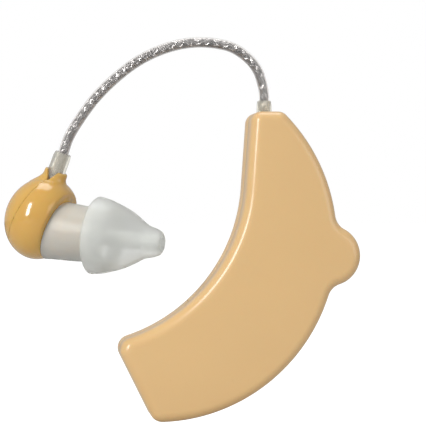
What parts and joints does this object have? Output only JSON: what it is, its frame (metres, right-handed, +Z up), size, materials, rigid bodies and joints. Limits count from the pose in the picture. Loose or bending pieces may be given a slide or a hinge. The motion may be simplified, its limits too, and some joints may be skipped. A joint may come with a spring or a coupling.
{
  "type": "behind the ear hearing aid",
  "caption": "Flat beige crescent case for behind the ear, with a braided ear-hook lead, a round earpiece, a soft flanged ear tip, a volume wheel and a sliding battery door.",
  "frame": {"origin": "underside of the lead's crown, where the lead rests on top of the ear", "axes": "+X to the right as pictured, from the earpiece towards the case; +Y away from the viewer, out of the case's rear face; +Z up, as worn"},
  "size_m": [0.0609, 0.0183, 0.0657],
  "materials": {
    "case_plastic": "glossy beige",
    "cell_can": "polished",
    "contact_strip": "satin",
    "board_laminate": "satin",
    "chip_resin": "matte",
    "capacitor_can": "satin",
    "capsule_metal": "satin",
    "black_rubber": "matte",
    "control_plastic": "matte",
    "wheel_plastic": "satin",
    "screw_steel": "brushed",
    "clear_sleeve": "clear, glossy",
    "clear_jacket": "clear, glossy",
    "braid_metal": "bright braid",
    "wire_coat": "glossy",
    "earpiece_plastic": "glossy golden beige",
    "tip_silicone": "translucent, soft sheen"
  },
  "bodies": {
    "case": {"front_shell": "case_plastic", "rear_shell": "case_plastic", "button_cell": "cell_can", "battery_minus_contact": "contact_strip", "battery_plus_contact": "contact_strip", "circuit_board": "board_laminate", "amplifier_chip": "chip_resin", "board_capacitors": "capacitor_can", "board_resistors": "chip_resin", "microphone_capsule": "capsule_metal", "microphone_boot": "black_rubber", "microphone_pins": "contact_strip", "volume_pot": "control_plastic", "wheel_screw": "screw_steel", "case_lead_sleeve": "clear_sleeve", "lead_jacket": "clear_jacket", "lead_braid": "braid_metal", "lead_wires": "wire_coat"},
    "volume_wheel": {"volume_wheel": "wheel_plastic"},
    "battery_door": {"battery_door": "case_plastic"},
    "earpiece": {"earpiece_sleeve": "clear_sleeve", "receiver_cap": "earpiece_plastic", "receiver_cup": "earpiece_plastic", "receiver_capsule": "capsule_metal", "receiver_gasket": "black_rubber", "snout_screen": "screw_steel"},
    "ear_tip": {"ear_tip": "tip_silicone"}
  },
  "joints": [
    {"name": "wheel_turn", "type": "hinge", "parent": "case", "child": "volume_wheel", "pos_m": [0.02246, 0.0014, -0.03585], "axis": [0, 1, 0], "range_deg": [0, 270]},
    {"name": "door_slide", "type": "slide", "parent": "case", "child": "battery_door", "axis": [-0.8957, 0, -0.4446], "range_m": [0, 0.016]},
    {"name": "lead_flex", "type": "hinge", "parent": "case", "child": "earpiece", "pos_m": [-0.0181, 0, -0.009], "axis": [0, 1, 0], "range_deg": [-10, 25], "stiffness_Nm_per_rad": 0.08, "deforming": ["lead_jacket", "lead_braid", "lead_wires"]},
    {"name": "tip_pull", "type": "slide", "parent": "earpiece", "child": "ear_tip", "axis": [0.8884, -0.4449, -0.1132], "range_m": [0, 0.0105]}
  ]
}
